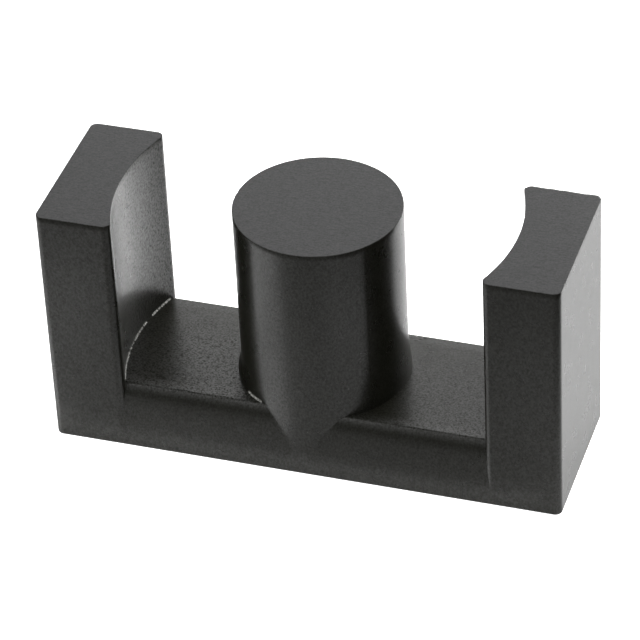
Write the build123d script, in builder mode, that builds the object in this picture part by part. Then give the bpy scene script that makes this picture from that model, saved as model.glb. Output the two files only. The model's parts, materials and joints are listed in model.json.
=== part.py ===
# Half of a round-post ferrite E core, standing on its back with its ground faces up.
#
# The real core is one piece: ferrite powder pressed in a die, sintered hard, then ground flat on top.
# Origin at the centre of the back face, +Z up the centre post, X along the core, front face towards -Y.
# The core is the same from both sides and from both ends. All sizes are in millimetres.
import os

from build123d import *

# Overall size
core_length = 39.0
core_depth = 12.45
core_height = 19.9

# Centre post, as thick as the core is deep but for a hair
post_diameter = 12.4
root_diameter = 12.43  # the post's root swells this far on its way down through the yoke

# Legs
leg_circle_diameter = 29.8  # the circle round the post that the inner faces of both legs lie on
leg_tip_radius = 0.55  # upright edges where a leg's hollow face meets the front and the back
outer_corner_radius = 0.55  # upright edges at the four outer corners

# Winding windows, between the post and the legs
window_height = 14.6  # from the ground top faces down to the window floor

# Shoulders of the yoke: under each window its front and back lean away towards the window floor
shoulder_setback = 0.95  # how far the floor's edge stands back from the flat front face
shoulder_foot = 0.5  # height above the back face at which the shoulder runs out into the flat front face

floor_height = core_height - window_height
half_depth = core_depth / 2
leg_circle_radius = leg_circle_diameter / 2
mid_leg = (leg_circle_radius + core_length / 2) / 2

with BuildPart() as ferrite_core:
    # Both legs, drawn in plan and standing the full height
    with BuildSketch(Plane.XY) as legs:
        RectangleRounded(core_length, core_depth, outer_corner_radius)
        Circle(leg_circle_radius, mode=Mode.SUBTRACT)
        leg_tips = legs.vertices().filter_by_position(Axis.X, -leg_circle_radius, leg_circle_radius)
        fillet(leg_tips, leg_tip_radius)
    extrude(amount=core_height)

    # The yoke joins them: half its section as seen from the end, with a quarter ellipse for the shoulder,
    # mirrored front to back and run from the middle of one leg to the middle of the other
    with BuildSketch(Plane.YZ) as yoke_section:
        with BuildLine():
            Line((0, 0), (half_depth, 0))
            Line((half_depth, 0), (half_depth, shoulder_foot))
            shoulder = EllipticalCenterArc(
                center=(half_depth - shoulder_setback, shoulder_foot),
                x_radius=shoulder_setback,
                y_radius=floor_height - shoulder_foot,
                arc_size=90,
            )
            Line(shoulder @ 1, (0, floor_height))
            mirror(about=Plane.YZ)
        make_face()
    extrude(amount=mid_leg, both=True)

    # The post stands on the window floor. Its root goes down through the yoke and is nearly as thick as the
    # yoke is deep, so it shows between the shoulders, front and back, as a V that fades out downwards
    with BuildSketch(Plane.XY.offset(floor_height)) as post_section:
        Circle(post_diameter / 2)
    extrude(amount=window_height)
    Cone(
        bottom_radius=root_diameter / 2,
        top_radius=post_diameter / 2,
        height=floor_height,
        align=(Align.CENTER, Align.CENTER, Align.MIN),
    )

ferrite_core.part.label = "ferrite_core"

os.makedirs("parts", exist_ok=True)
export_step(ferrite_core.part, "parts/ferrite_core.step")
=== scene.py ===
# %% [markdown]
# A ferrite core half, dressed for its picture
#
# The object is one half of a transformer core: a round post between two upright legs on a flat-backed
# yoke. It is a single piece of manganese-zinc ferrite. The powder was pressed in a steel die, sintered
# until hard, and only the three top faces were ground afterwards, because they must meet the matching
# half closely. The solid model already has the right form. What is added here is the skin of the real
# thing: edges that are slightly broken, a foot where the die has left a little flash, and the dull sheen
# of a dark ceramic.

import json
import math

import bmesh
import bpy
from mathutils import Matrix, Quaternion, Vector, noise


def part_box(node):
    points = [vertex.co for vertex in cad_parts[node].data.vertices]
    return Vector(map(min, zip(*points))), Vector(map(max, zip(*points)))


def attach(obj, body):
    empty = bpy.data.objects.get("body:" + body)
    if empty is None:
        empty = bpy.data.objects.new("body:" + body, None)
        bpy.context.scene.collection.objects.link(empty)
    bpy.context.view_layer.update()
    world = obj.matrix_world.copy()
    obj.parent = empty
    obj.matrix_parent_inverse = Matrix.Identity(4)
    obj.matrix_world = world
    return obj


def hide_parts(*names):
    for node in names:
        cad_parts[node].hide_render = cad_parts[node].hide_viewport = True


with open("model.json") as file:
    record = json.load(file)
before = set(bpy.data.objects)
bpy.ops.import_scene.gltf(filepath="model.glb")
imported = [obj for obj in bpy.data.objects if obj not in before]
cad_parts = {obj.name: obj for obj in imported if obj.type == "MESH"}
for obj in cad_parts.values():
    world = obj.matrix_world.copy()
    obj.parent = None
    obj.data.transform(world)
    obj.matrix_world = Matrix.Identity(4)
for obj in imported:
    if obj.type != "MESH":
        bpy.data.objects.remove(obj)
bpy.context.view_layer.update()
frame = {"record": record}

# %% [markdown]
# Sizes
#
# Everything is worked out in millimetres, because that is how a core maker gives sizes, and is turned to
# metres only when a mesh is made. The outside sizes and the post come from the solid model and its
# record, so the skin always lies on the solid. The few sizes that the record doesn't hold are named here.

# %% Sizes in millimetres
MM = 0.001

far_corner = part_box("ferrite_core")[1]
half_length = far_corner.x / MM
half_depth = far_corner.y / MM
core_height = far_corner.z / MM

mounts = {mount["name"]: mount for mount in frame["record"]["mounts"]}
post_radius = mounts["centre_post"]["dims"]["r_mm"]
floor_height = core_height - mounts["centre_post"]["dims"]["length_mm"]

leg_circle_radius = 14.9  # the inner faces of both legs lie on this circle
leg_tip_radius = 0.55  # upright edges where a leg's hollow face meets the front and the back
outer_corner_radius = 0.55  # upright edges at the four outer corners
shoulder_setback = 0.95  # how far the window floor's edge stands back from the flat front
shoulder_foot = 0.5  # height at which the shoulder runs out into the flat front
root_radius = 6.215  # the post's root swells to this on its way down through the yoke

print(f"core {2 * half_length:.2f} x {2 * half_depth:.2f} x {core_height:.2f} mm")
print(f"window floors {floor_height:.2f} mm above the back face")

# %% [markdown]
# The camera
#
# The core is seen from its front right and from above, through a long lens that keeps its upright edges
# nearly parallel. The camera looks at a point inside the post and is rolled a little, so that the core
# stands slightly askew in the frame.

# %% Place the camera
camera_azimuth = math.radians(19.07)
camera_elevation = math.radians(37.02)
camera_roll = math.radians(-2.99)
camera_distance = 278.8
camera_target = Vector((-0.28, 0.0, 9.59))
camera_lens = 213.5

camera = bpy.data.objects.new("camera", bpy.data.cameras.new("camera"))
camera.data.lens = camera_lens
camera.data.clip_start = 10 * MM
camera.data.clip_end = 10000 * MM
towards_camera = Vector((
    math.sin(camera_azimuth) * math.cos(camera_elevation),
    -math.cos(camera_azimuth) * math.cos(camera_elevation),
    math.sin(camera_elevation),
))
camera.location = (camera_target + towards_camera * camera_distance) * MM
camera.rotation_mode = "QUATERNION"
upright = (-towards_camera).to_track_quat("-Z", "Y")
camera.rotation_quaternion = upright @ Quaternion((0, 0, 1), camera_roll)
bpy.context.scene.collection.objects.link(camera)
bpy.context.scene.camera = camera
print("camera at", [round(v, 4) for v in camera.location])

# %% [markdown]
# The core's outline at any height
#
# A pressed part is easy to think of as a stack of outlines, because the powder was squeezed straight up
# and down: the die wall gives the outline, and the punches give the heights. So the skin is woven between
# outlines. One quarter of the outline is enough, from the middle of the long face to the middle of the
# end, because the core is the same from both sides and from both ends. It could also be cut from blocks
# by Booleans, but woven rows put a line of the mesh right on each edge, where the fine detail goes.

# %% Shoulder and root, as functions of the height
CREASE = 0.05  # width of the soft crease where the root meets the shoulder
CREASE_RUN = 0.8  # the crease sharpens over this height, to nothing at the floor


def shoulder_depth(height):
    """Half the yoke's depth here. It is drawn in along a quarter ellipse on its way up to the floor."""
    rise = max(0.0, min(1.0, (height - shoulder_foot) / (floor_height - shoulder_foot)))
    return half_depth - shoulder_setback * (1 - math.sqrt(1 - rise * rise))


def root_depth(height, x):
    """How far out the post's root reaches at x and this height."""
    radius = root_radius + (post_radius - root_radius) * height / floor_height
    return math.sqrt(max(0.0, radius * radius - x * x))


def face_depth(height, x):
    """The long face here: root or shoulder, whichever is further out, with a soft crease between them."""
    root, shoulder = root_depth(height, x), shoulder_depth(height)
    soft = CREASE * min(1.0, (floor_height - height) / CREASE_RUN)
    return min(half_depth, (root + shoulder + math.sqrt((root - shoulder) ** 2 + soft * soft)) / 2)


floor_edge = shoulder_depth(floor_height)
print(f"half depth at the floor's edge {floor_edge:.3f} mm")

# %% The leg's side: hollow face, rounded tip and flat front, by the length along it
FLAT_RUN = 1.2  # the flat front counts as part of the leg's side for this long

tip_centre_y = half_depth - leg_tip_radius
tip_centre_x = math.sqrt((leg_circle_radius + leg_tip_radius) ** 2 - tip_centre_y ** 2)
tip_start = math.atan2(tip_centre_y, tip_centre_x)
hollow_start = math.asin(floor_edge / leg_circle_radius)
hollow_length = leg_circle_radius * (tip_start - hollow_start)
tip_length = leg_tip_radius * (math.pi / 2 + tip_start)
side_length = hollow_length + tip_length + FLAT_RUN


def on_arc(centre, radius, angle):
    return centre[0] + radius * math.cos(angle), centre[1] + radius * math.sin(angle)


def leg_side(length):
    """A point on the leg's side, from where the floor's edge meets the hollow face to the flat front."""
    if length < hollow_length:
        return on_arc((0, 0), leg_circle_radius, hollow_start + length / leg_circle_radius)
    if length < hollow_length + tip_length:
        turned = (length - hollow_length) / leg_tip_radius
        return on_arc((tip_centre_x, tip_centre_y), leg_tip_radius, math.pi + tip_start - turned)
    return tip_centre_x + length - hollow_length - tip_length, half_depth


def side_met_at(depth):
    """The length along the leg's side at which a shoulder of this depth runs into it."""
    if depth <= leg_circle_radius * math.sin(tip_start):
        return leg_circle_radius * (math.asin(depth / leg_circle_radius) - hollow_start)
    turned = tip_start + math.asin(min(1.0, (depth - tip_centre_y) / leg_tip_radius))
    return hollow_length + leg_tip_radius * turned


print(f"leg tip centred at {tip_centre_x:.3f}, {tip_centre_y:.3f} mm; leg side {side_length:.3f} mm long")

# %% A quarter of the outline, from the middle of the long face to the middle of the end
ROOT_STEPS = 14
SHOULDER_STEPS = 70
SIDE_STEPS = 44
FRONT_STEPS = 16
CORNER_STEPS = 12
END_STEPS = 30
LEAST_ROOT = 0.12  # below the V's tip the root keeps this width, so that all outlines have as many points


def eased(count):
    """Shares from 0 to 1 that lie closer together at both ends."""
    return [(1 - math.cos(math.pi * i / count)) / 2 for i in range(count + 1)]


def eased_between(start, end, count):
    """Numbers from start up to end, without the end itself."""
    return [start + (end - start) * share for share in eased(count)[:-1]]


def quarter_outline(height):
    depth = shoulder_depth(height)
    radius = root_depth(height, 0)
    root_edge = max(LEAST_ROOT, math.sqrt(max(0.0, radius * radius - depth * depth)))
    met = side_met_at(depth)
    along_face = [root_edge * i / ROOT_STEPS for i in range(ROOT_STEPS)]
    along_face += eased_between(root_edge, leg_side(met)[0], SHOULDER_STEPS)
    points = [(x, face_depth(height, x)) for x in along_face]
    points += [leg_side(met + (side_length - met) * i / SIDE_STEPS) for i in range(SIDE_STEPS)]
    corner = half_length - outer_corner_radius, half_depth - outer_corner_radius
    points += [(x, half_depth) for x in eased_between(leg_side(side_length)[0], corner[0], FRONT_STEPS)]
    for i in range(CORNER_STEPS):
        points.append(on_arc(corner, outer_corner_radius, math.pi / 2 * (1 - i / CORNER_STEPS)))
    points += [(half_length, corner[1] * (1 - i / END_STEPS)) for i in range(END_STEPS + 1)]
    return points


def mirrored(quarter, x_sign, y_sign):
    return [(x * x_sign, y * y_sign) for x, y in quarter]


def full_outline(quarter):
    """The closed outline, from the middle of the front by way of the right end, the back and the left."""
    right = mirrored(quarter, 1, -1) + mirrored(quarter, 1, 1)[-2::-1]
    left = mirrored(quarter, -1, 1)[1:] + mirrored(quarter, -1, -1)[-2:0:-1]
    return right + left


floor_quarter = quarter_outline(floor_height)
print(len(full_outline(floor_quarter)), "points in each outline of the yoke")

# %% [markdown]
# Weaving rows of points into a skin
#
# Each part of the skin is a strip: rows of points with as many points in each, joined by four-sided
# faces. Strips that meet share the places of their points, so that one weld at the end closes the whole
# skin. Each face has one of three finishes: the skin as it came from the die and the furnace, the ground
# tops, or the crumbly flash.

# %% The skin and its strips
SINTERED, GROUND, FLASH = 0, 1, 2
WELD = 0.002  # points closer than this are one

skin = bmesh.new()


def strip(rows, finish, closed=False):
    """Joins rows of points in millimetres with quads."""
    rows = [[skin.verts.new(Vector(point) * MM) for point in row] for row in rows]
    for lower, upper in zip(rows, rows[1:]):
        for i in range(len(lower) - (0 if closed else 1)):
            j = (i + 1) % len(lower)
            skin.faces.new((lower[i], lower[j], upper[j], upper[i])).material_index = finish
    return rows


def at_height(outline, height):
    return [(x, y, height) for x, y in outline]


def inset(outline, width):
    """Draws a closed, anticlockwise outline in by a width, which may be a function of x and y."""
    drawn = []
    for i, (x, y) in enumerate(outline):
        before, after = outline[i - 1], outline[(i + 1) % len(outline)]
        along = Vector((after[0] - before[0], after[1] - before[1])).normalized()
        by = width(x, y) if callable(width) else width
        drawn.append((x - along.y * by, y + along.x * by))
    return drawn


print("finishes", SINTERED, GROUND, FLASH, "for the sintered skin, the ground tops and the flash")

# %% [markdown]
# The yoke
#
# The yoke's long faces were formed by the die wall as well, but the wall leans in under each window, so
# that the punch that presses the window floor can be stronger. The rows follow that lean by equal steps
# round the quarter ellipse, so they crowd together at the floor's edge, where the shoulder turns over
# quickly. The back face is flat, and its pressed edge is broken by a hair.

# %% Weave the yoke and its back face
SHOULDER_ROWS = 36
LOW_ROWS = [0.2, 0.35]  # heights of the rows below the shoulder
BACK_EDGE = 0.07  # width of the broken edge round the back face
TURN = 0.3  # an edge starts to turn over at this share of its break, so that the break is round
RIM_BAND = 0.5  # inside its rim a flat face has a band of quads this wide, and then one large face

shoulder_rise = floor_height - shoulder_foot
heights = [BACK_EDGE] + LOW_ROWS
for i in range(SHOULDER_ROWS + 1):
    heights.append(shoulder_foot + shoulder_rise * math.sin(math.pi / 2 * i / SHOULDER_ROWS))
back_outline = full_outline(quarter_outline(0))
back_rows = [
    at_height(inset(back_outline, RIM_BAND), 0),
    at_height(inset(back_outline, BACK_EDGE), 0),
    at_height(inset(back_outline, BACK_EDGE * TURN), BACK_EDGE * TURN),
]
yoke_rows = [at_height(full_outline(quarter_outline(height)), height) for height in heights]
back = strip(back_rows + yoke_rows, SINTERED, closed=True)
skin.faces.new(back[0]).material_index = SINTERED
print(len(yoke_rows), "rows up the yoke")

# %% [markdown]
# The tops' rims
#
# The grinding wheel leaves the rims nearly sharp, and ferrite is brittle, so a rim is always a row of
# tiny breaks. Most are too small to see. The right leg's back rim was knocked off to a fine bevel, and a
# small chip is gone at the back of the left leg's hollow. The width of the break is a function of the
# place on the rim, and noise makes it uneven. Where a noise is read, a plain number in its place picks
# the pattern.

# %% How wide the rim is broken at each place
FINE_BREAK = 0.025  # the break that every ground rim has
NICK = 0.05  # how much wider a nick makes the break
NICK_FROM = 0.35  # a nick starts where the noise is above this
NICK_SWING = 0.3  # and has its width where the noise is this much higher
NICK_SPACING = 0.5
CHIP = 0.13  # width of the one chip that shows, at the back of the left leg's hollow
CHIP_REACH = 0.45
CHIP_PLACE = (-14.15, 5.3)
BEVEL = 0.17  # width of the bevel on the right leg's back rim
BEVEL_SPACING = 1.7  # length over which that bevel widens and narrows
BEVEL_STEADY = 0.75  # share of its width that it has everywhere
BEVEL_SWING = 0.5  # and the share that noise adds or takes away
BEVEL_BAND = 0.4  # a rim this near the back of the core is a back rim
RIM_LOOP = 0.06  # a loop of the mesh this far inside the rim keeps the top's shading flat


def rim_break(x, y):
    nick = NICK * max(0.0, noise.noise(Vector((x, y, 3.1)) / NICK_SPACING) - NICK_FROM) / NICK_SWING
    chip = CHIP * max(0.0, 1 - math.hypot(x - CHIP_PLACE[0], y - CHIP_PLACE[1]) / CHIP_REACH)
    width = FINE_BREAK + nick + chip
    if x > post_radius and y > half_depth - BEVEL_BAND:
        swing = noise.noise(Vector((x / BEVEL_SPACING, y, 5.0)))
        width += BEVEL * (BEVEL_STEADY + BEVEL_SWING * swing)
    return width


def top_rows(outline):
    """The last rows up to a ground top, and the rows of its flat rim."""
    widths = [rim_break(x, y) for x, y in outline]
    turned_in = inset(outline, lambda x, y: rim_break(x, y) * TURN)
    broken = [(x, y, core_height - width) for (x, y), width in zip(outline, widths)]
    turned = [(x, y, core_height - width * TURN) for (x, y), width in zip(turned_in, widths)]
    rim = at_height(inset(outline, rim_break), core_height)
    within = at_height(inset(outline, lambda x, y: rim_break(x, y) + RIM_LOOP), core_height)
    return [broken, turned, rim], [rim, within, at_height(inset(outline, RIM_BAND), core_height)]


def grind_top(rows):
    """The ground face inside the rim."""
    woven = strip(rows, GROUND, closed=True)
    skin.faces.new(woven[-1]).material_index = GROUND


print(f"rim broken {rim_break(*CHIP_PLACE):.3f} mm wide in the chip")

# %% [markdown]
# The flash at the feet
#
# Where two punches of the die meet, a little powder creeps into the gap between them and is pressed to a
# thin, crumbly rib, called flash. One runs along the foot of each leg's hollow face, worn down towards
# the front, and a short one stands at the post's left foot. A rib could be a piece of its own, but on the
# real core it is grown from the floor, so here the floor itself rises to it. Its height comes from noise,
# so that it breaks into crumbs.

# %% How high the flash stands in each direction
CRUMB = 0.14  # length of a crumb along the rib
CRUMB_GROUP = 5  # crumbs come in groups of about this many
RIB_LEFT = 0.66  # how much of a rib is left on average
RIB_BY_CRUMB = 1.6  # how strongly that changes from crumb to crumb
RIB_BY_GROUP = 0.2  # and from group to group
RIB_HEIGHT = 0.075
RIB_WIDTH = 0.075
RIB_FADE = 0.02  # the leg's rib runs out over this turn, in radians, before the edge of the floor
WEAR_RUN = 1.6  # the leg's rib is whole this far in front of the middle, and wears down over as much again
WORN_DOWN = 0.5  # share of its height that it has lost there
WORN_WHOLE = 0.9  # and how whole it is, since its crumbs are rubbed together
POST_RIB_FROM, POST_RIB_TO = -138.0, -121.7  # directions, in degrees, of the rib at the post's left foot
POST_RIB_HEIGHT = 1.4 * RIB_HEIGHT
POST_RIB_STARTS = 0.12  # share of its run over which it rises
POST_RIB_ENDS = 0.08  # and share over which it falls
POST_RIB_SLOPE = 0.6  # share of its height that it loses along its run
POST_RIB_CRUMBS = 0.3  # share of its height that comes and goes with its crumbs


def smooth_step(share):
    share = max(0.0, min(1.0, share))
    return share * share * (3 - 2 * share)


def crumbs(along, pattern):
    """How much of a rib is left at this length along it: 0 where it has broken off, 1 where whole."""
    fine = noise.noise(Vector((along / CRUMB, pattern, 0.5)))
    coarse = noise.noise(Vector((along / CRUMB / CRUMB_GROUP, pattern, 4.5)))
    return smooth_step(RIB_LEFT + RIB_BY_CRUMB * fine + RIB_BY_GROUP * coarse)


def leg_rib(x, y):
    """Height of the rib at the foot of the leg on this side."""
    angle = math.atan2(y, abs(x))
    along = angle * leg_circle_radius
    worn = smooth_step((-WEAR_RUN - along) / WEAR_RUN)
    left = max(crumbs(along, 2.5 if x < 0 else 9.5), WORN_WHOLE * worn)
    return RIB_HEIGHT * (1 - WORN_DOWN * worn) * left * smooth_step((hollow_start - abs(angle)) / RIB_FADE)


def post_rib(x, y):
    """Height of the rib at the post's left foot, which runs out towards the edge of the floor."""
    degrees = math.degrees(math.atan2(y, x))
    share = (degrees - POST_RIB_FROM) / (POST_RIB_TO - POST_RIB_FROM)
    whole = smooth_step(share / POST_RIB_STARTS) * smooth_step((1 - share) / POST_RIB_ENDS)
    crumbled = 1 - POST_RIB_CRUMBS + POST_RIB_CRUMBS * crumbs(math.radians(degrees) * post_radius, 6.5)
    return POST_RIB_HEIGHT * whole * (1 - POST_RIB_SLOPE * share) * crumbled


def rib(height, away):
    """The rib's height at a distance away from the wall it stands at."""
    return height * max(0.0, 1 - (away / RIB_WIDTH) ** 2)


print(f"left leg's rib {1000 * leg_rib(-leg_circle_radius, 2.0):.0f} um high, 2 mm behind the middle")

# %% [markdown]
# The legs
#
# Each leg stands straight up from the yoke. Its hollow face lies on a circle round the post, so that the
# winding sits equally far from both, and the tips beside it are rounded, because a sharp tip would break
# off the die.

# %% Weave both legs
HOLLOW_STEPS = 144
UPRIGHT_ROWS = 34
LIFT_REACH = 0.5  # this far above the floor, the rows of a wall no longer follow the rib at its foot
TOP_CLEAR = 0.4  # the plain rows of a wall stop this far below the top, clear of its broken rim

leg_quarter = floor_quarter[ROOT_STEPS + SHOULDER_STEPS:]
hollow_angles = [hollow_start * (1 - 2 * i / HOLLOW_STEPS) for i in range(HOLLOW_STEPS + 1)]
hollow = [on_arc((0, 0), leg_circle_radius, angle) for angle in hollow_angles]
right_leg = mirrored(leg_quarter, 1, -1) + mirrored(leg_quarter, 1, 1)[-2::-1] + hollow[1:-1]
left_leg = mirrored(right_leg, -1, 1)[::-1]

rise = core_height - floor_height
upright_heights = [floor_height + rise * share for share in eased(UPRIGHT_ROWS)[:-1]]


def at_hollow(x, y):
    return abs(math.hypot(x, y) - leg_circle_radius) < WELD and abs(y) < hollow[0][1]


def weave_column(outline_at, rib_at):
    """Weaves a column from the window floor to its ground top, with its lowest rows lifted by the rib."""
    side, ground = top_rows(outline_at(core_height))
    below = []
    for height in upright_heights:
        if height < core_height - TOP_CLEAR:
            follows = max(0.0, 1 - (height - floor_height) / LIFT_REACH) ** 2
            below.append([(x, y, height + follows * rib_at(x, y)) for x, y in outline_at(height)])
    strip(below + side, SINTERED, closed=True)
    grind_top(ground)


for leg in (right_leg, left_leg):
    weave_column(lambda height: leg, lambda x, y: leg_rib(x, y) if at_hollow(x, y) else 0)
print(len(right_leg), "points round each leg")

# %% [markdown]
# The post
#
# The post is formed in the bore of the punch that presses the window floors. The mouth of that bore
# wears, so the post's foot swells out a little over its last millimetre and a half, most on the left. At
# the back right the bore is worn higher up. Where the shoulder passes in front and behind, the post runs
# straight on into its root, and there it doesn't swell. A scratch in the bore has drawn one fine upright
# line down the post.

# %% Weave the post with its swollen foot
FOOT_RISE = 1.5  # the swelling starts this far above the floor
FOOT_FULL = 0.4  # and is complete at this height
FOOT_RISE_BACK_RIGHT = 3.2  # at the back right it starts this far above the floor
FOOT_SWELL = 0.05  # how far the foot stands out all round
FOOT_SWELL_LEFT = 0.24  # how much further it stands out on the left
FOOT_SWELL_BACK_RIGHT = 0.16  # and at the back right
LEFT = 190  # direction of the swelling on the left, in degrees
LEFT_SPREAD = 48  # and how far it reaches to each side
BACK_RIGHT = 22
BACK_RIGHT_SPREAD = 40
FOOT_FADE = 0.15  # beside the root the swelling grows over this share of the post's radius
DRAG = -41.0  # direction of the line drawn down the post, in degrees
DRAG_WIDTH = 2.4  # its steep side, in degrees
DRAG_RUN = 16.0  # and its slow one
DRAG_DEPTH = 0.01

root_edge_angle = math.atan2(floor_quarter[ROOT_STEPS][0], floor_edge)


def hump(angle, centre, spread):
    """1 in the direction of the centre, 0 outside its spread. Angles are in degrees."""
    off = abs((angle - centre + 180) % 360 - 180)
    return smooth_step(1 - off / spread)


def foot_swell(angle, height):
    """How far the post's foot stands out in a direction, given in radians, at a height above the floor."""
    degrees = math.degrees(angle)
    low_swell = FOOT_SWELL + FOOT_SWELL_LEFT * hump(degrees, LEFT, LEFT_SPREAD)
    low_swell *= smooth_step((FOOT_RISE - height) / (FOOT_RISE - FOOT_FULL))
    high_swell = FOOT_SWELL_BACK_RIGHT * hump(degrees, BACK_RIGHT, BACK_RIGHT_SPREAD)
    high_swell *= smooth_step(1 - height / FOOT_RISE_BACK_RIGHT)
    beside = (abs(math.cos(angle)) - math.sin(root_edge_angle)) / FOOT_FADE
    return (low_swell + high_swell) * smooth_step(beside)


def drag(angle):
    """Depth of the line that the punch's bore has drawn down the post, at its right front."""
    past = math.degrees(angle) - DRAG
    return DRAG_DEPTH * (smooth_step(past / DRAG_WIDTH) - smooth_step((past - DRAG_WIDTH) / DRAG_RUN))


def post_outline(height):
    outline = []
    for angle in post_angles:
        radius = post_radius + foot_swell(angle, height - floor_height) - drag(angle)
        outline.append(on_arc((0, 0), radius, angle))
    return outline


front_root = [math.atan2(-root_depth(floor_height, x), x) for x, _ in floor_quarter[:ROOT_STEPS + 1]]
side_turn = math.pi / 2 - root_edge_angle
right_side = [side_turn * (2 * i / HOLLOW_STEPS - 1) for i in range(1, HOLLOW_STEPS)]
right_half = front_root + right_side + [-angle for angle in front_root[::-1]]
left_half = [math.pi - angle for angle in right_half[::-1]]
post_angles = right_half + left_half[1:-1]
weave_column(post_outline, post_rib)
print(len(post_angles), "points round the post")

# %% [markdown]
# The window floors
#
# Each window's floor is a plane between the post, a leg and the two shoulder edges. It is woven from
# straight lines that run from the post to the leg's hollow face, and rises to the ribs at both ends of
# them. The left floor has one deep pit, and a few crumbs are stuck to the right floor's back edge.

# %% Weave both window floors
DEEP_PIT = 0.11  # radius of the one deep pit, in front of the post's left foot
DEEP_PIT_DEPTH = 0.09
DEEP_PIT_PLACE = (-4.66, -4.5)
STUCK = 0.07  # radius of a crumb that is stuck to the right floor, near its back edge
STUCK_HEIGHT = 0.05
STUCK_SIDE = 1.5  # a stuck crumb's side is this steep, so that it has a flat top
STUCK_CRUMBS = [(5.15, 5.0), (5.5, 5.16), (5.85, 5.0), (6.2, 5.15), (5.6, 4.75)]


def stuck_crumb(x, y):
    """1 in the middle of a stuck crumb, 0 outside all of them."""
    away = min(math.hypot(x - crumb_x, y - crumb_y) for crumb_x, crumb_y in STUCK_CRUMBS)
    return smooth_step(STUCK_SIDE * (1 - away / STUCK))


def floor_point(x, y, foot_radius):
    """A point of a window floor, on a line that starts at this radius, at the post's foot."""
    from_axis = math.hypot(x, y)
    from_pit = math.hypot(x - DEEP_PIT_PLACE[0], y - DEEP_PIT_PLACE[1]) / DEEP_PIT
    lift = rib(leg_rib(x, y), leg_circle_radius - from_axis) + rib(post_rib(x, y), from_axis - foot_radius)
    lift += STUCK_HEIGHT * stuck_crumb(x, y)
    return x, y, floor_height + lift - DEEP_PIT_DEPTH * smooth_step(1 - from_pit)


def weave_floor(foot_points, side):
    """Weaves a window floor from the post's foot to the leg. side is 1 on the right and -1 on the left."""
    rows = []
    for (post_x, post_y), (leg_x, leg_y) in zip(foot_points, hollow[::-1]):
        run_x, run_y = side * leg_x - post_x, leg_y - post_y
        line = [(post_x + run_x * share, post_y + run_y * share) for share in across]
        rows.append([floor_point(x, y, math.hypot(post_x, post_y)) for x, y in line])
    strip(rows, SINTERED)


across = eased(SHOULDER_STEPS)
foot = post_outline(floor_height)
foot_start = len(front_root) - 1
weave_floor(foot[foot_start:foot_start + HOLLOW_STEPS + 1], 1)
left_start = foot_start + len(foot) // 2
weave_floor([foot[(left_start + i) % len(foot)] for i in range(HOLLOW_STEPS + 1)][::-1], -1)
print(2 * HOLLOW_STEPS * SHOULDER_STEPS, "faces in both window floors")

# %% [markdown]
# Closing the skin
#
# The strips are welded along their shared points. Then the faces that came from the furnace are made very
# slightly uneven, because the powder shrinks by a sixth as it sinters and never quite evenly. It only
# moves inwards, so the core keeps its size, and the ground tops and the back stay flat.

# %% Weld the strips
bmesh.ops.remove_doubles(skin, verts=skin.verts[:], dist=WELD * MM)
bmesh.ops.recalc_face_normals(skin, faces=skin.faces[:])
open_edges = sum(1 for edge in skin.edges if not edge.is_manifold)
print(len(skin.faces), "faces,", open_edges, "open edges")

# %% Mark the flash
RIB_SEEN = 0.02  # where a rib is lower than this, it has the floor's finish


def in_flash(place):
    """Whether a place on the skin, in millimetres, is on one of the ribs or on a stuck crumb."""
    if not floor_height - WELD < place.z < floor_height + 2 * RIB_HEIGHT:
        return False
    from_axis = math.hypot(place.x, place.y)
    from_leg = abs(leg_circle_radius - from_axis)
    from_post = abs(from_axis - post_radius - foot_swell(math.atan2(place.y, place.x), 0))
    ribs = max(rib(leg_rib(place.x, place.y), from_leg), rib(post_rib(place.x, place.y), from_post))
    return ribs > RIB_SEEN or stuck_crumb(place.x, place.y) > 0.5


for face in skin.faces:
    if in_flash(face.calc_center_median() / MM):
        face.material_index = FLASH
print(sum(face.material_index == FLASH for face in skin.faces), "faces of flash")

# %% Make the skin uneven
UNEVEN = 0.006  # depth of the furnace's unevenness
UNEVEN_SPACING = 3.0
KEPT_FLAT = 0.3  # this near the back face and the ground tops, nothing moves

skin.normal_update()
moves = []
for vert in skin.verts:
    place = vert.co / MM
    if KEPT_FLAT < place.z < core_height - KEPT_FLAT:
        depth = UNEVEN * (0.5 + 0.5 * noise.noise(place / UNEVEN_SPACING))
        moves.append((vert, vert.normal * depth * MM))
for vert, move in moves:
    vert.co -= move
print(len(moves), "points moved inwards")

# %% Make the core
SHARP = 55  # faces that meet at more than this angle, in degrees, meet in a sharp edge

core_mesh = bpy.data.meshes.new("ferrite_core_skin")
skin.to_mesh(core_mesh)
skin.free()
core_mesh.shade_smooth()
core_mesh.set_sharp_from_angle(angle=math.radians(SHARP))
core = bpy.data.objects.new("ferrite_core_skin", core_mesh)
bpy.context.scene.collection.objects.link(core)
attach(core, "root")
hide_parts("ferrite_core")
print("the skin stands for the solid model's core")

# %% [markdown]
# Colours and nodes
#
# A colour is written as it would be picked on a screen, and Blender wants linear values, so one function
# turns it. Another adds a node to a material, sets it and links it, so that a material reads as a list of
# its steps. A node that is given as a value stands for its first output.

# %% Helpers for the finishes
IOR = 1.5  # a typical value for a ceramic's gloss


def linear(hex_colour):
    """An sRGB hex colour as the linear values that Blender wants."""
    channels = [int(hex_colour[i:i + 2], 16) / 255 for i in (1, 3, 5)]
    return [c / 12.92 if c <= 0.04045 else ((c + 0.055) / 1.055) ** 2.4 for c in channels] + [1.0]


def fill(node, sockets):
    """Gives each input, by name or number, a value, an output or another node."""
    for socket, value in sockets.items():
        if isinstance(value, bpy.types.Node):
            value = value.outputs[0]
        if isinstance(value, bpy.types.NodeSocket):
            node.id_data.links.new(value, node.inputs[socket])
        else:
            node.inputs[socket].default_value = value


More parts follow.
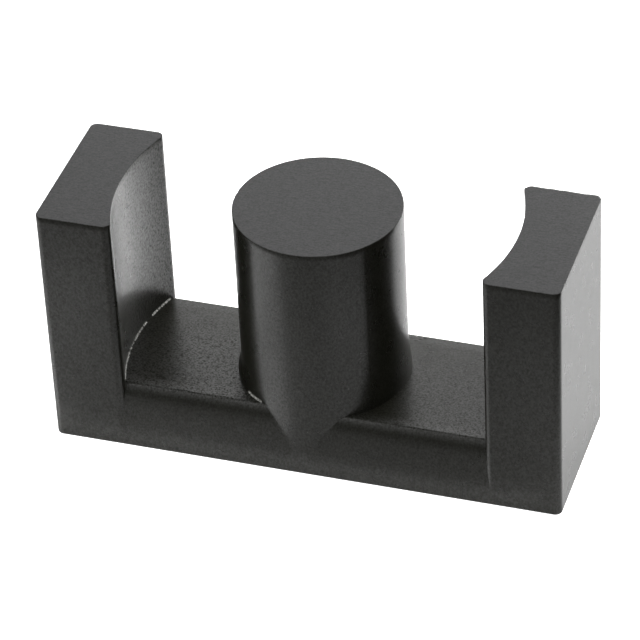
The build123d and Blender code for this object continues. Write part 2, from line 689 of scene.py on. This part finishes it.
def add(tree, kind, sockets=None, **settings):
    """Adds a node with its settings and fills its inputs."""
    node = tree.nodes.new("ShaderNode" + kind)
    for name, value in settings.items():
        setattr(node, name, value)
    fill(node, sockets or {})
    return node


def new_finish(name):
    """A new material on the core: its tree, its shader, and the place on the core in millimetres."""
    material = bpy.data.materials.new(name)
    material.use_nodes = True
    core_mesh.materials.append(material)
    tree = material.node_tree
    in_metres = add(tree, "TexCoord").outputs["Object"]
    place = add(tree, "VectorMath", {0: in_metres, "Scale": 1 / MM}, operation="SCALE")
    return tree, tree.nodes["Principled BSDF"], place


print("#191914 in linear values:", [round(v, 4) for v in linear("#191914")])

# %% [markdown]
# The skin as sintered
#
# Ferrite is a dark ceramic. It is not a metal: what light comes back is mostly the gloss of its surface,
# which is weak when looked at squarely and strong when looked at along the surface, as on any glass or
# glaze. So the base colour is nearly black, the IOR is that of a common dielectric, and the roughness is
# what makes it look dull.
#
# The powder was pressed as granules of about a sixth of a millimetre. They leave a fine grain, and small
# pits where three of them did not knit. A wall that has slid along the die has its grain rubbed down and
# drawn out upright, and the post's wall, which slid along the whole bore of the punch, is burnished. A
# floor was only pressed, so it keeps its grain, least at the back and most towards its front edge, where
# the powder was packed least. The last millimetre before each of its edges is rougher as well. The right
# end has a few small knocks. The pits and knocks are not cut into the skin. The shade in them is painted,
# by taking away most of the gloss there.

# %% The sintered finish: where each kind of surface is
FACES_UP = 0.25  # a surface that faces up by more than this is partly floor
FACES_FULLY_UP = 0.9  # and from here on wholly
HOLLOW_REACH = 0.15  # a place this near the leg circle is on a hollow face
END_REACH = 0.1  # and one this near the core's end is on an end face
EDGE_TURN = 0.025  # a floor counts as such this far past its edge, where it is turning over
EDGE_RUN = 2.6  # length over which the floor's grain grows towards its front edge

tree, shader, place = new_finish("sintered_ferrite")
axes = add(tree, "SeparateXYZ", {0: place})
facing = add(tree, "SeparateXYZ", {0: add(tree, "NewGeometry").outputs["Normal"]})
floor_share = add(tree, "MapRange", {
    "Value": facing.outputs["Z"],
    "From Min": FACES_UP,
    "From Max": FACES_FULLY_UP,
})
flattened = add(tree, "CombineXYZ", {0: axes.outputs["X"], 1: axes.outputs["Y"]})
from_axis = add(tree, "VectorMath", {0: flattened}, operation="LENGTH").outputs["Value"]
from_middle = add(tree, "Math", {0: axes.outputs["Y"]}, operation="ABSOLUTE")
from_centre = add(tree, "Math", {0: axes.outputs["X"]}, operation="ABSOLUTE")
on_circle = add(tree, "Math", {0: from_axis, 1: leg_circle_radius, 2: HOLLOW_REACH}, operation="COMPARE")
between_tips = add(tree, "Math", {0: from_middle, 1: tip_centre_y}, operation="LESS_THAN")
on_hollow = add(tree, "Math", {0: on_circle, 1: between_tips}, operation="MULTIPLY")
on_end = add(tree, "Math", {0: from_centre, 1: half_length, 2: END_REACH}, operation="COMPARE")
free_edge = floor_edge + EDGE_TURN
near_front = add(tree, "MapRange", {
    "Value": axes.outputs["Y"],
    "From Min": EDGE_RUN - free_edge,
    "From Max": -free_edge,
})
print(f"the floor's grain grows over {EDGE_RUN} mm towards its front edge")

# %% The sintered finish: grain and drawn grain
GRANULE = 0.15  # size of a granule on a floor
GRANULE_DRAWN = 0.2  # and its length where the die wall has drawn it out
NOISE_LOW, NOISE_HIGH = 0.32, 0.68  # nearly all of a noise texture's values lie between these

grain = add(tree, "TexNoise", {"Vector": place, "Scale": 1 / GRANULE, "Detail": 2.0, "Roughness": 0.7})
stretch = (1 / GRANULE, 1 / GRANULE, 1 / GRANULE_DRAWN)
pulled = add(tree, "VectorMath", {0: place, 1: stretch}, operation="MULTIPLY")
drawn = add(tree, "TexNoise", {"Vector": pulled, "Scale": 1.0, "Detail": 2.0, "Roughness": 0.7})
relief = add(tree, "MixRGB", {0: floor_share, 1: drawn, 2: grain})
level = add(tree, "MapRange", {
    "Value": relief,
    "From Min": NOISE_LOW,
    "From Max": NOISE_HIGH,
    "To Min": -1.0,
})
print("granules of", GRANULE, "mm")

# %% The sintered finish: painted shade in pits and knocks
PIT_SPACING = 0.3
PIT_RADIUS = 0.085
PIT_BOTTOM = 0.03  # a pit's painted shade is full within this radius
WALL_PITS = 0.001  # share of the possible pits that a wall has
FLOOR_PITS = 0.05  # share that a floor has
FRONT_PITS = 0.16  # and this many more at its front edge
KNOCK_BOTTOM = 0.6  # a knock's painted shade is full within this share of its radius
KNOCKS = [  # y, z and radius of each small knock on the right end, near its back edge
    (5.2, 19.2, 0.09),
    (4.95, 18.95, 0.07),
    (4.6, 17.4, 0.06),
    (4.8, 14.7, 0.05),
    (3.7, 2.65, 0.06),
]

cells = add(tree, "TexVoronoi", {"Vector": place, "Scale": 1 / PIT_SPACING})
chance = add(tree, "SeparateColor", {0: cells.outputs["Color"]})
pit_limit = add(tree, "Math", {0: near_front, 1: FRONT_PITS, 2: FLOOR_PITS}, operation="MULTIPLY_ADD")
floor_limit = add(tree, "Math", {0: pit_limit, 1: floor_share}, operation="MULTIPLY")
limit = add(tree, "Math", {0: floor_limit, 1: WALL_PITS}, operation="MAXIMUM")
has_pit = add(tree, "Math", {0: chance, 1: limit}, operation="LESS_THAN")
pit_dip = add(tree, "MapRange", {
    "Value": cells.outputs["Distance"],
    "From Min": PIT_RADIUS / PIT_SPACING,
    "From Max": PIT_BOTTOM / PIT_SPACING,
})
# Painted shade in the pits and knocks: how much of their gloss is taken away, from 0 to 1.
painted_pit_and_knock_shade = add(tree, "Math", {0: has_pit, 1: pit_dip}, operation="MULTIPLY")
for y, z, radius in KNOCKS:
    knock = (half_length, y, z)
    away = add(tree, "VectorMath", {0: place, 1: knock}, operation="DISTANCE").outputs["Value"]
    dip = add(tree, "MapRange", {"Value": away, "From Min": radius, "From Max": radius * KNOCK_BOTTOM})
    painted_pit_and_knock_shade = add(tree, "Math", {0: painted_pit_and_knock_shade, 1: dip}, operation="MAXIMUM")
print("room for a pit every", PIT_SPACING, "mm, and", len(KNOCKS), "knocks")

# %% The sintered finish: how strongly the grain varies the gloss
LEFT_FLOOR_GRAIN = 0.85  # the left punch was rougher
RIGHT_FLOOR_GRAIN = 0.55
FLOORS_FROM = 6.0  # this far from the middle on each side, the grain is wholly that side's
FRONT_GRAIN = 0.2  # both floors have this much more at their front edges
BACK_GRAIN = 0.4  # towards their back edges the grain fades to this share
HOLLOW_GRAIN = 0.75
WALL_GRAIN = 0.34
END_GRAIN = 0.18

wall_grain = add(tree, "Math", {
    0: on_hollow,
    1: HOLLOW_GRAIN - WALL_GRAIN,
    2: WALL_GRAIN,
}, operation="MULTIPLY_ADD")
wall_grain = add(tree, "Math", {
    0: on_end,
    1: END_GRAIN - WALL_GRAIN,
    2: wall_grain,
}, operation="MULTIPLY_ADD")
floor_grain = add(tree, "MapRange", {
    "Value": axes.outputs["X"],
    "From Min": -FLOORS_FROM,
    "From Max": FLOORS_FROM,
    "To Min": LEFT_FLOOR_GRAIN,
    "To Max": RIGHT_FLOOR_GRAIN,
})
floor_grain = add(tree, "Math", {0: near_front, 1: FRONT_GRAIN, 2: floor_grain}, operation="MULTIPLY_ADD")
fade = add(tree, "MapRange", {
    "Value": axes.outputs["Y"],
    "From Min": 0.0,
    "From Max": free_edge,
    "To Min": 1.0,
    "To Max": BACK_GRAIN,
})
floor_grain = add(tree, "Math", {0: floor_grain, 1: fade}, operation="MULTIPLY")
strength = add(tree, "MapRange", {"Value": floor_share, "To Min": wall_grain, "To Max": floor_grain})
varied = add(tree, "Math", {0: level, 1: strength, 2: 1.0}, operation="MULTIPLY_ADD")
print("the grain varies the gloss by", END_GRAIN, "to", LEFT_FLOOR_GRAIN + FRONT_GRAIN)

# %% The sintered finish: how much of the gloss is left
PLAIN_GLOSS = 0.5  # the shader's specular level at which the IOR alone decides
PIT_SHADE = 0.85  # share of the gloss that is taken away in a pit, as painted shade
BURNISH = 1.22  # the post's wall shines this much more than the rest
RUBBED_FROM = 1.0  # from this height up, the root is more and more burnished
RUBBED_FULL = 4.5  # and from here on it is as burnished as the post
MID_ROOT = root_radius - 0.01  # about the middle of what the root's radius goes through
ROOT_REACH = 0.013  # below the floor, a place this near that radius is on the root
POST_REACH = 0.4  # above it the swollen foot stays this near
ROOT_TOP = 0.05  # the reach changes over this height, up to the floor

post_reach = add(tree, "MapRange", {
    "Value": axes.outputs["Z"],
    "From Min": floor_height - ROOT_TOP,
    "From Max": floor_height,
    "To Min": ROOT_REACH,
    "To Max": POST_REACH,
})
on_post = add(tree, "Math", {0: from_axis, 1: MID_ROOT, 2: post_reach}, operation="COMPARE")
on_wall = add(tree, "Math", {0: floor_share, 1: 0.5}, operation="LESS_THAN")
rubbed = add(tree, "Math", {0: on_post, 1: on_wall}, operation="MULTIPLY")
reached = add(tree, "MapRange", {
    "Value": axes.outputs["Z"],
    "From Min": RUBBED_FROM,
    "From Max": RUBBED_FULL,
})
rubbed = add(tree, "Math", {0: rubbed, 1: reached}, operation="MULTIPLY")
shine = add(tree, "MapRange", {"Value": rubbed, "To Min": PLAIN_GLOSS, "To Max": PLAIN_GLOSS * BURNISH})
# Painted shade: most of the gloss is taken away in the pits and knocks.
pitted = add(tree, "Math", {0: painted_pit_and_knock_shade, 1: -PIT_SHADE, 2: varied}, operation="MULTIPLY_ADD")
gloss = add(tree, "Math", {0: pitted, 1: shine}, operation="MULTIPLY", use_clamp=True)
print("the post shines", BURNISH, "times as much as the rest")

# %% The sintered finish: colour, roughness and relief
MOTTLE = 1.6  # size of the faint cloudy patches
MOTTLE_LOW, MOTTLE_HIGH = 0.3, 0.7  # nearly all of the patches' values lie between these
ROUGH_LOW, ROUGH_HIGH = 0.27, 0.29  # and the roughness between these
EDGE_ROUGH = 0.25  # how much rougher a floor is at its front and back edges
ROUGH_RUN = 0.9  # length over which it gets rougher
GRAIN_DEPTH = 0.004
WALL_DEPTH = 0.12  # share of that depth that is left on a wall

mottle = add(tree, "TexNoise", {"Vector": place, "Scale": 1 / MOTTLE, "Detail": 2.0, "Roughness": 0.5})
colour = add(tree, "MixRGB", {0: mottle, 1: linear("#191914"), 2: linear("#20201a")})
roughness = add(tree, "MapRange", {
    "Value": mottle,
    "From Min": MOTTLE_LOW,
    "From Max": MOTTLE_HIGH,
    "To Min": ROUGH_LOW,
    "To Max": ROUGH_HIGH,
})
rougher = add(tree, "MapRange", {
    "Value": from_middle,
    "From Min": free_edge - ROUGH_RUN,
    "From Max": free_edge,
    "To Max": EDGE_ROUGH,
})
rougher = add(tree, "Math", {0: rougher, 1: floor_share}, operation="MULTIPLY")
roughness = add(tree, "Math", {0: roughness, 1: rougher}, operation="ADD")
depth = add(tree, "MapRange", {"Value": floor_share, "To Min": WALL_DEPTH, "To Max": 1.0})
bump = add(tree, "Bump", {"Height": relief, "Distance": GRAIN_DEPTH * MM, "Strength": depth})
fill(shader, {
    "Base Color": colour,
    "Specular IOR Level": gloss,
    "Roughness": roughness,
    "Normal": bump,
    "IOR": IOR,
})
print("cloudy patches of", MOTTLE, "mm")

# %% [markdown]
# The ground tops
#
# The wheel took the sintered skin off the tops and left bare ceramic: an even grey with very fine
# straight lines along the core, since cores pass under the wheel lengthwise, and small pits where whole
# grains were torn out. The real lines are a hundredth of a millimetre apart, too fine to show, so they
# are drawn ten times coarser.

# %% The ground finish
WHEEL_LINE = 0.1
WHEEL_RUN = 0.8
WHEEL_DEPTH = 0.001
TORN_SHARE = 0.6  # how much of the relief is torn grain, and not wheel lines
GROUND_GRAIN = 0.4
GROUND_ROUGHNESS = 0.28

tree, shader, place = new_finish("ground_ferrite")
along = add(tree, "VectorMath", {0: place, 1: (1 / WHEEL_RUN, 1 / WHEEL_LINE, 1.0)}, operation="MULTIPLY")
lines = add(tree, "TexNoise", {"Vector": along, "Scale": 1.0, "Detail": 2.0})
grain = add(tree, "TexNoise", {"Vector": place, "Scale": 1 / GRANULE, "Detail": 2.0, "Roughness": 0.7})
relief = add(tree, "MixRGB", {0: TORN_SHARE, 1: lines, 2: grain})
level = add(tree, "MapRange", {
    "Value": relief,
    "From Min": NOISE_LOW,
    "From Max": NOISE_HIGH,
    "To Min": -1.0,
})
varied = add(tree, "Math", {0: level, 1: GROUND_GRAIN, 2: 1.0}, operation="MULTIPLY_ADD")
gloss = add(tree, "Math", {0: varied, 1: PLAIN_GLOSS}, operation="MULTIPLY", use_clamp=True)
bump = add(tree, "Bump", {"Height": relief, "Distance": WHEEL_DEPTH * MM, "Strength": 1.0})
fill(shader, {
    "Base Color": linear("#1b1b1b"),
    "Specular IOR Level": gloss,
    "Roughness": GROUND_ROUGHNESS,
    "Normal": bump,
    "IOR": IOR,
})
print("wheel lines drawn", WHEEL_LINE, "mm apart")

# %% [markdown]
# The flash
#
# A rib of flash is pressed but hardly packed, and its crumbs break off to clean grain faces. They throw
# light in every direction. That glint is painted into the rib's colour, which is grey where there is dust
# and a pale, chalky grey on the clean faces, so that from a step away the rib is a chalky line on the dark
# floor.

# %% The flash finish, with its glint painted in
FLASH_GRAIN = 0.09
FLASH_DEPTH = 0.02
FLASH_ROUGHNESS = 0.85
GLINT_FROM = 0.35  # where the grain is higher than this, the grey of dust gives way to the painted glint of clean grain faces
GLINT_FULL = 0.6  # and from here on there is only the painted glint

tree, shader, place = new_finish("ferrite_flash_painted_glint")
grain = add(tree, "TexNoise", {"Vector": place, "Scale": 1 / FLASH_GRAIN, "Detail": 3.0, "Roughness": 0.7})
painted_glint = add(tree, "MapRange", {"Value": grain, "From Min": GLINT_FROM, "From Max": GLINT_FULL})
# Painted glint: the colour goes from grey to a pale chalky grey where the grain is high.
colour = add(tree, "MixRGB", {0: painted_glint, 1: linear("#4a4a48"), 2: linear("#c4c4be")})
bump = add(tree, "Bump", {"Height": grain, "Distance": FLASH_DEPTH * MM, "Strength": 1.0})
fill(shader, {"Base Color": colour, "Roughness": FLASH_ROUGHNESS, "Normal": bump, "IOR": IOR})
print("flash grain drawn at", FLASH_GRAIN, "mm")

# %% [markdown]
# The studio
#
# The core stands on white card in a dim white room. Nearly all that its dark gloss shows is a picture of
# what stands round it, so the lamps are placed by what each face mirrors. The camera looks down, so an
# upright face mirrors the card near the core: the right side and the left leg's hollow face mirror it
# behind the core, and the fronts mirror it before the core. The card's coat is a dull mirror in its turn,
# and so the upright faces show the softboxes too, low down and blurred.
#
# The softboxes also light the card and the upward faces. Small lamps close above the card then light it
# in pools, where an upright face should look brighter, and are not mirrored themselves. Two narrow ones
# light the strip at the foot of the fronts. The card's own colour also carries a painted pool of light. It
# is pale round a place behind the core and painted dark farther off. The camera itself sees an evenly
# bright card.

# %% The white card
CARD_HALF = 3.0  # metres
CARD_SEEN = 0.85  # how much brighter than its own lit colour the camera sees the card
COAT = 0.35  # share of the light that the card's coat throws on like a dull mirror
COAT_ROUGHNESS = 0.2
PAINTED_POOL_MIDDLE = Vector((-10, 25, 0))  # the card's colour is painted as a pool of light round this place behind the core
PAINTED_POOL_REACH = 42  # up to this far from there the painted pool is fully pale
PAINTED_DARK_REACH = 72  # and from here on the card is painted dark, a painted shade, except for the camera

card_mesh = bpy.data.meshes.new("white_card")
corners = [(x * CARD_HALF, y * CARD_HALF, 0) for x, y in ((-1, -1), (1, -1), (1, 1), (-1, 1))]
card_mesh.from_pydata(corners, [], [(0, 1, 2, 3)])
card = bpy.data.objects.new("white_card", card_mesh)
bpy.context.scene.collection.objects.link(card)

material = bpy.data.materials.new("white_card")
material.use_nodes = True
card_mesh.materials.append(material)
tree = material.node_tree
tree.nodes.clear()
camera_ray = add(tree, "LightPath").outputs["Is Camera Ray"]
on_card = add(tree, "TexCoord").outputs["Object"]
seen = add(tree, "Math", {0: camera_ray, 1: CARD_SEEN}, operation="MULTIPLY")
glow = add(tree, "Emission", {"Color": linear("#ffffff"), "Strength": seen})
# A painted pool of light: for all rays but the camera's, the card's colour is pale near a place behind the
# core and dark farther off.
away = add(tree, "VectorMath", {0: on_card, 1: PAINTED_POOL_MIDDLE * MM}, operation="DISTANCE").outputs["Value"]
painted_pool = add(tree, "MapRange", {"Value": away, "From Min": PAINTED_DARK_REACH * MM, "From Max": PAINTED_POOL_REACH * MM})
painted_pool_or_camera = add(tree, "Math", {0: painted_pool, 1: camera_ray}, operation="MAXIMUM")
painted_paper = add(tree, "MixRGB", {0: painted_pool_or_camera, 1: linear("#202020"), 2: linear("#e8e8e8")})
matt = add(tree, "BsdfDiffuse", {"Color": painted_paper})
glowing = add(tree, "AddShader", {0: glow, 1: matt})
mirror = add(tree, "BsdfGlossy", {"Color": linear("#ffffff"), "Roughness": COAT_ROUGHNESS})
share = add(tree, "MapRange", {"Value": camera_ray, "To Min": COAT, "To Max": 0.0})
coated = add(tree, "MixShader", {0: share, 1: glowing, 2: mirror})
add(tree, "OutputMaterial", {"Surface": coated})
print("card", 2 * CARD_HALF, "m square")

# %% The dim white room
ROOM_LIGHT = 0.03  # how bright the room is for the core, while the camera sees it white

world = bpy.data.worlds.new("room")
world.use_nodes = True
tree = world.node_tree
tree.nodes.clear()
camera_ray = add(tree, "LightPath").outputs["Is Camera Ray"]
dim = add(tree, "Background", {"Color": linear("#ffffff"), "Strength": ROOM_LIGHT})
white = add(tree, "Background", {"Color": linear("#ffffff"), "Strength": 1.0})
room = add(tree, "MixShader", {0: camera_ray, 1: dim, 2: white})
add(tree, "OutputWorld", {"Surface": room})
bpy.context.scene.world = world
print("room at", ROOM_LIGHT, "of white")

# %% The softboxes round the core
def add_lamp(name, width, height, brightness):
    """An area lamp as bright as a white surface lit this strongly."""
    lamp = bpy.data.lights.new(name, "AREA")
    lamp.shape = "RECTANGLE"
    lamp.size = width
    lamp.size_y = height
    lamp.energy = brightness * math.pi * width * height
    box = bpy.data.objects.new(name, lamp)
    box.visible_camera = False
    bpy.context.scene.collection.objects.link(box)
    return box


def softbox(name, azimuth, elevation, distance, width, height, brightness):
    """A lamp that faces the core, with sizes in metres. Azimuth 0 is behind the core, 90 to its right."""
    box = add_lamp(name, width, height, brightness)
    turn, rise = math.radians(azimuth), math.radians(elevation)
    towards = Vector((math.sin(turn) * math.cos(rise), math.cos(turn) * math.cos(rise), math.sin(rise)))
    box.location = towards * distance
    box.rotation_mode = "QUATERNION"
    box.rotation_quaternion = towards.to_track_quat("Z", "Y")


softbox("low_behind", 0, 12, 0.25, 0.30, 0.09, 7.7)
softbox("low_right_behind", 35, 16, 0.16, 0.10, 0.06, 3.0)
softbox("wall_behind", 0, 32, 0.60, 0.60, 0.25, 1.0)
softbox("high_behind", 0, 56, 0.60, 0.90, 0.30, 1.0)
softbox("high_before", 180, 66, 0.60, 1.20, 0.30, 1.43)
softbox("wall_before", 180, 40, 0.60, 1.00, 0.24, 0.7)
softbox("low_before", 180, 20, 0.60, 0.80, 0.18, 0.63)
softbox("left_before", 242, 37, 0.60, 0.40, 0.30, 1.55)
print(len(bpy.data.lights), "softboxes")

# %% The small lamps over the card
def card_lamp(name, x, y, height, length, width, spread, brightness):
    """A lamp that looks straight down on the card. Its sizes are in millimetres, its spread in degrees."""
    box = add_lamp(name, length * MM, width * MM, brightness)
    box.data.spread = math.radians(spread)
    box.location = (x * MM, y * MM, height * MM)
    box.visible_glossy = False


card_lamp("pool_behind", -4, 20, 30, 14, 14, 80, 7.25)
card_lamp("pool_right_behind", 40, 22, 50, 30, 30, 100, 3.55)
card_lamp("pool_right", 30, 2, 30, 14, 14, 80, 3.2)
card_lamp("pool_left", -60, -16, 50, 30, 30, 90, 3.2)
card_lamp("pool_left_before", -28, -10, 14, 14, 10, 60, 0.75)
card_lamp("pool_before", -10, -11, 10, 12, 6, 60, 0.4)
card_lamp("far_before_left", -27, -24, 12, 8, 12, 60, 1.7)
card_lamp("far_before_right", 15, -24, 12, 8, 12, 60, 0.67)
card_lamp("front_foot", -2, -7.4, 3, 40, 1.2, 60, 1.35)
card_lamp("front_foot_left", -25, -8, 3, 10, 2, 60, 2.85)
bpy.context.scene.view_settings.view_transform = "Standard"
print(len(bpy.data.lights), "lamps in all")
